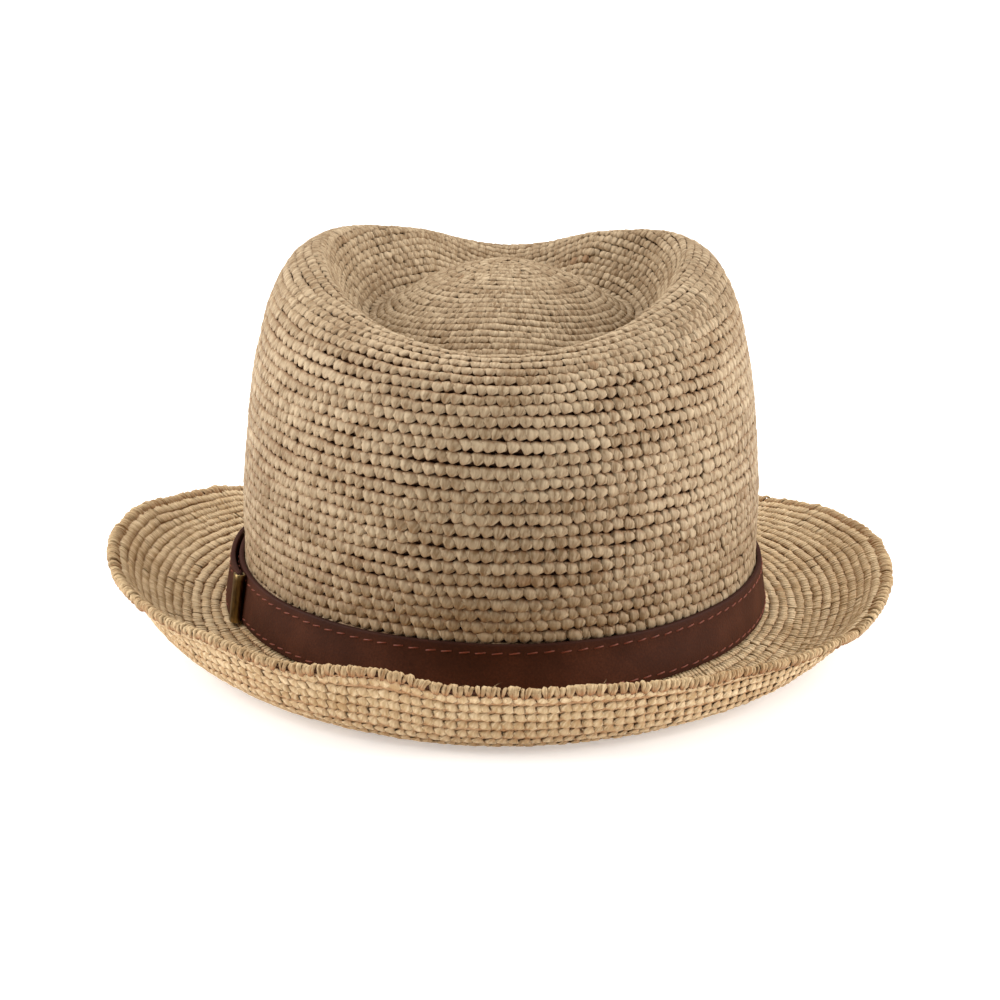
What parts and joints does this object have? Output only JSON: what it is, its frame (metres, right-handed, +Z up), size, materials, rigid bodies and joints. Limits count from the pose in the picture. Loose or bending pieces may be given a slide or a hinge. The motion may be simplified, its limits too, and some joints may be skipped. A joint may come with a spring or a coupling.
{
  "type": "crocheted raffia trilby",
  "caption": "Hollow raffia trilby with a dented teardrop crown, a narrow brim turned up at the back, and a leather strap with a brass tip round the crown.",
  "frame": {"origin": "on the resting surface, under the middle of the hat's bounding box", "axes": "+X to the wearer's right, +Y to the front of the hat, +Z up out of the surface"},
  "size_m": [0.2581, 0.2787, 0.125],
  "materials": {
    "raffia": "matt crocheted raffia, natural tan with paler and browner stitches",
    "strap_leather": "fine-grained dark reddish brown leather, satin",
    "tip_brass": "dark antique brass, satin"
  },
  "bodies": {
    "root": {"crown": "raffia", "brim": "raffia", "brim_edge": "raffia", "hat_band": "strap_leather", "band_tip": "tip_brass"}
  },
  "joints": []
}
